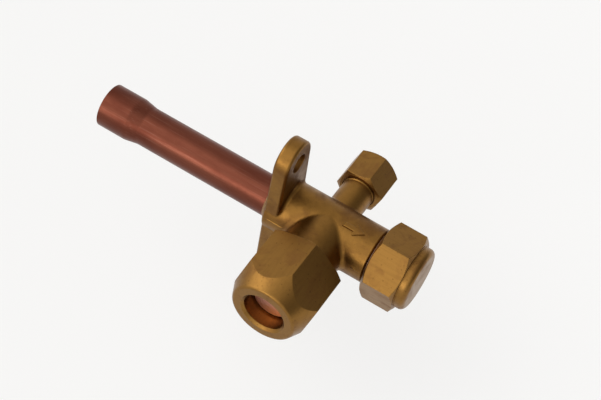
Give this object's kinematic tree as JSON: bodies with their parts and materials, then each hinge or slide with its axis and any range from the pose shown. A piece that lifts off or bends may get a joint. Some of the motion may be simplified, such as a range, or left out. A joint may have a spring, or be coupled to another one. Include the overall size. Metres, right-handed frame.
{
  "type": "refrigerant service valve",
  "caption": "Brass flare service valve with copper stub tube, stem under a screw cap, flare nut with sealing bonnet and a service port with its core.",
  "frame": {"origin": "on the stem axis in the back face of the mounting flange, midway between the two ear holes", "axes": "+X along the stem to its cap, +Z to the upper ear, -Y out of the flare connection, +Y out of the service port"},
  "size_m": [0.1132, 0.0673, 0.0591],
  "materials": {
    "forged_brass": "satin forged",
    "turned_brass": "satin machined",
    "copper": "satin drawn",
    "braze": "satin",
    "steel": "dark phosphated",
    "rubber": "matt",
    "seal_plastic": "matt"
  },
  "bodies": {
    "valve": {"valve_body": "forged_brass", "stub_tube": "copper", "braze_ring": "braze", "stem_retaining_ring": "steel", "core_head": "turned_brass", "core_sleeve": "turned_brass", "core_seal_ring": "seal_plastic"},
    "stem_seal": {"stem_o_ring": "rubber"},
    "stem": {"valve_stem": "turned_brass"},
    "cap_seal": {"stem_cap_gasket": "seal_plastic"},
    "cap": {"stem_cap": "turned_brass"},
    "bonnet": {"flare_bonnet": "copper"},
    "nut": {"flare_nut": "turned_brass"},
    "service_seal": {"service_cap_seal": "rubber"},
    "service_plug": {"service_cap": "turned_brass"},
    "core": {"core_pin": "steel", "core_cup": "turned_brass", "core_cup_seal": "rubber", "core_spring": "steel"}
  },
  "joints": [
    {"name": "stem_travel", "type": "slide", "parent": "valve", "child": "stem_seal", "axis": [1, 0, 0], "range_m": [0, 0.0065]},
    {"name": "stem_turn", "type": "hinge", "parent": "stem_seal", "child": "stem", "pos_m": [0, 0, 0], "axis": [1, 0, 0], "range_deg": [0, 2340]},
    {"name": "cap_travel", "type": "slide", "parent": "valve", "child": "cap_seal", "axis": [1, 0, 0], "range_m": [0, 0.012]},
    {"name": "cap_turn", "type": "hinge", "parent": "cap_seal", "child": "cap", "pos_m": [0, 0, 0], "axis": [1, 0, 0], "range_deg": [0, 2880]},
    {"name": "nut_travel", "type": "slide", "parent": "valve", "child": "bonnet", "axis": [0, -1, 0], "range_m": [0, 0.0127]},
    {"name": "nut_turn", "type": "hinge", "parent": "bonnet", "child": "nut", "pos_m": [0.01865, 0, 0], "axis": [0, -1, 0], "range_deg": [0, 2880]},
    {"name": "service_cap_travel", "type": "slide", "parent": "valve", "child": "service_seal", "axis": [0, 1, 0], "range_m": [0, 0.00889]},
    {"name": "service_cap_turn", "type": "hinge", "parent": "service_seal", "child": "service_plug", "pos_m": [0.01865, 0, 0], "axis": [0, 1, 0], "range_deg": [0, 2520]},
    {"name": "core_press", "type": "slide", "parent": "valve", "child": "core", "axis": [0, -1, 0], "range_m": [0, 0.0012], "stiffness_N_per_m": 1500, "springref_m": -0.001, "deforming": ["core_spring"]}
  ],
  "couplings": [
    {"joint": "stem_turn", "follows": "stem_travel", "rad_per_m": 6283.2},
    {"joint": "cap_turn", "follows": "cap_travel", "rad_per_m": 4188.8},
    {"joint": "nut_turn", "follows": "nut_travel", "rad_per_m": 3957.9},
    {"joint": "service_cap_turn", "follows": "service_cap_travel", "rad_per_m": 4947.4}
  ]
}
